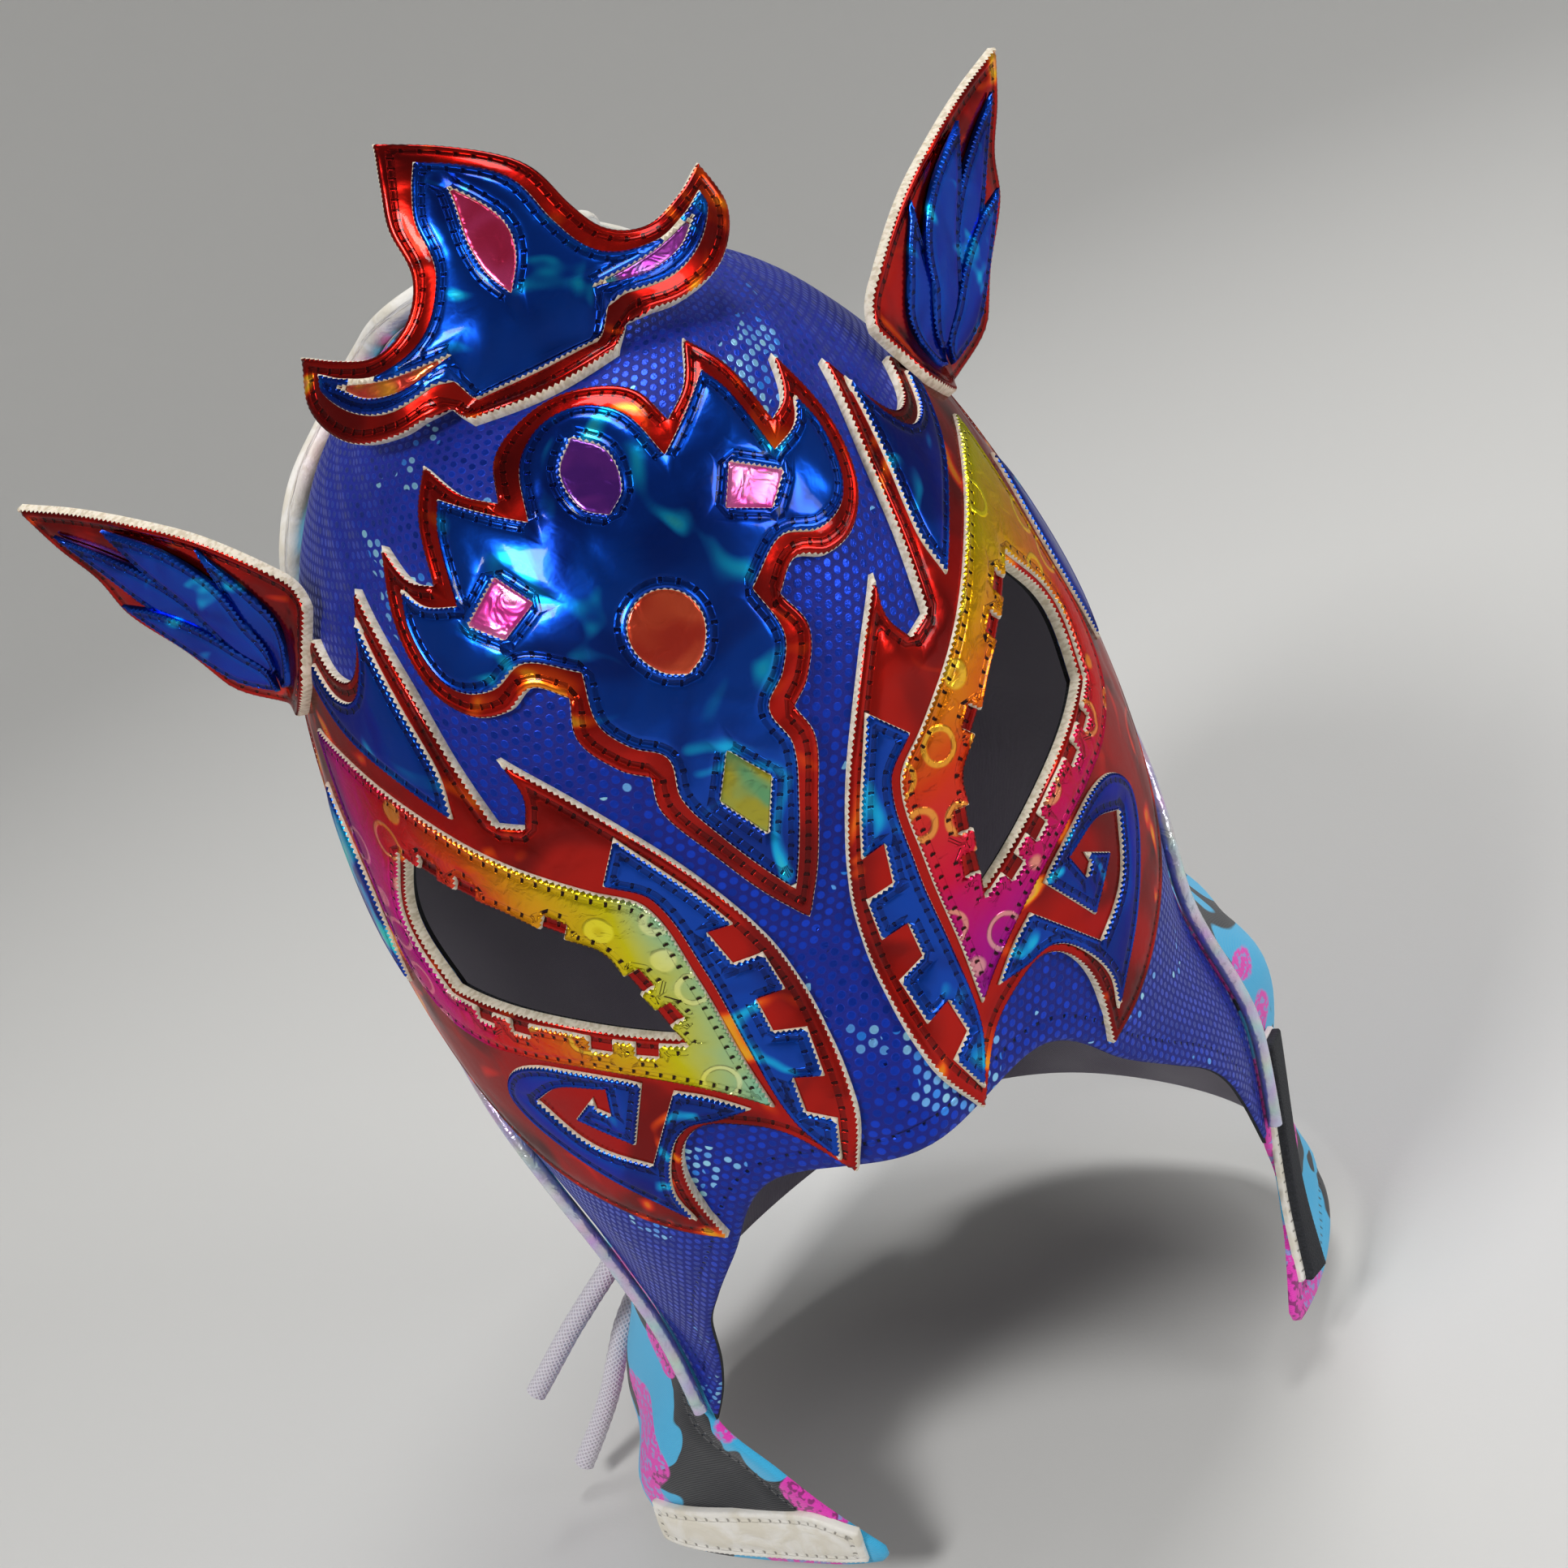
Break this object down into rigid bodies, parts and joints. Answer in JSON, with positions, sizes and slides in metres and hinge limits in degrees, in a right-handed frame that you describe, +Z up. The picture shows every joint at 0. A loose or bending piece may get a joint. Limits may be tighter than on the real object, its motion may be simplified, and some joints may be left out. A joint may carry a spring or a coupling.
{
  "type": "luchador mask",
  "caption": "Full wrestling mask of stretch cloth with foil appliques round the eyes, a flame crest, two side horns and a laced back.",
  "frame": {"origin": "where the inside of the crown rests on the top of the head", "axes": "+Z up the head, the face looks along -Y, +X is the right side of the mask as seen from the front"},
  "size_m": [0.2327, 0.2259, 0.3284],
  "materials": {
    "royal_cloth": "satin stretch cloth with foil dots",
    "print_cloth": "matt printed stretch cloth",
    "red_foil": "mirror foil over foam",
    "blue_foil": "mirror foil over foam",
    "rainbow_foil": "ringed holographic foil over foam",
    "silver_foil": "pearly silver foil",
    "window_foil": "tinted mirror foil",
    "cream_vinyl": "soft creased coated cloth",
    "white_cord": "braided",
    "black_tape": "hook tape"
  },
  "bodies": {
    "root": {"hood_front": "royal_cloth", "hood_back_left": "print_cloth", "hood_back_right": "print_cloth", "piping_left": "silver_foil", "piping_right": "silver_foil", "crown_roll": "cream_vinyl", "brow_base": "red_foil", "brow_top": "blue_foil", "brow_window_top": "window_foil", "brow_window_middle": "window_foil", "brow_window_low": "window_foil", "brow_window_left": "window_foil", "brow_window_right": "window_foil", "surround_left": "red_foil", "eye_band_left": "rainbow_foil", "nose_strip_left": "blue_foil", "temple_flame_left": "blue_foil", "cheek_scroll_left": "blue_foil", "temple_leaf_left": "blue_foil", "horn_left": "red_foil", "horn_leaves_left": "blue_foil", "surround_right": "red_foil", "eye_band_right": "rainbow_foil", "nose_strip_right": "blue_foil", "temple_flame_right": "blue_foil", "cheek_scroll_right": "blue_foil", "temple_leaf_right": "blue_foil", "horn_right": "red_foil", "horn_leaves_right": "blue_foil", "crest_base": "red_foil", "crest_top": "blue_foil", "crest_window_middle": "window_foil", "crest_window_left": "window_foil", "crest_window_right": "window_foil", "neck_band": "cream_vinyl", "tape_backing": "cream_vinyl", "hook_tape": "black_tape", "lace_flap": "print_cloth", "lace_facing_left": "cream_vinyl", "lace_facing_right": "cream_vinyl", "lace": "white_cord", "lace_end_one": "white_cord", "lace_end_two": "white_cord"}
  },
  "joints": []
}
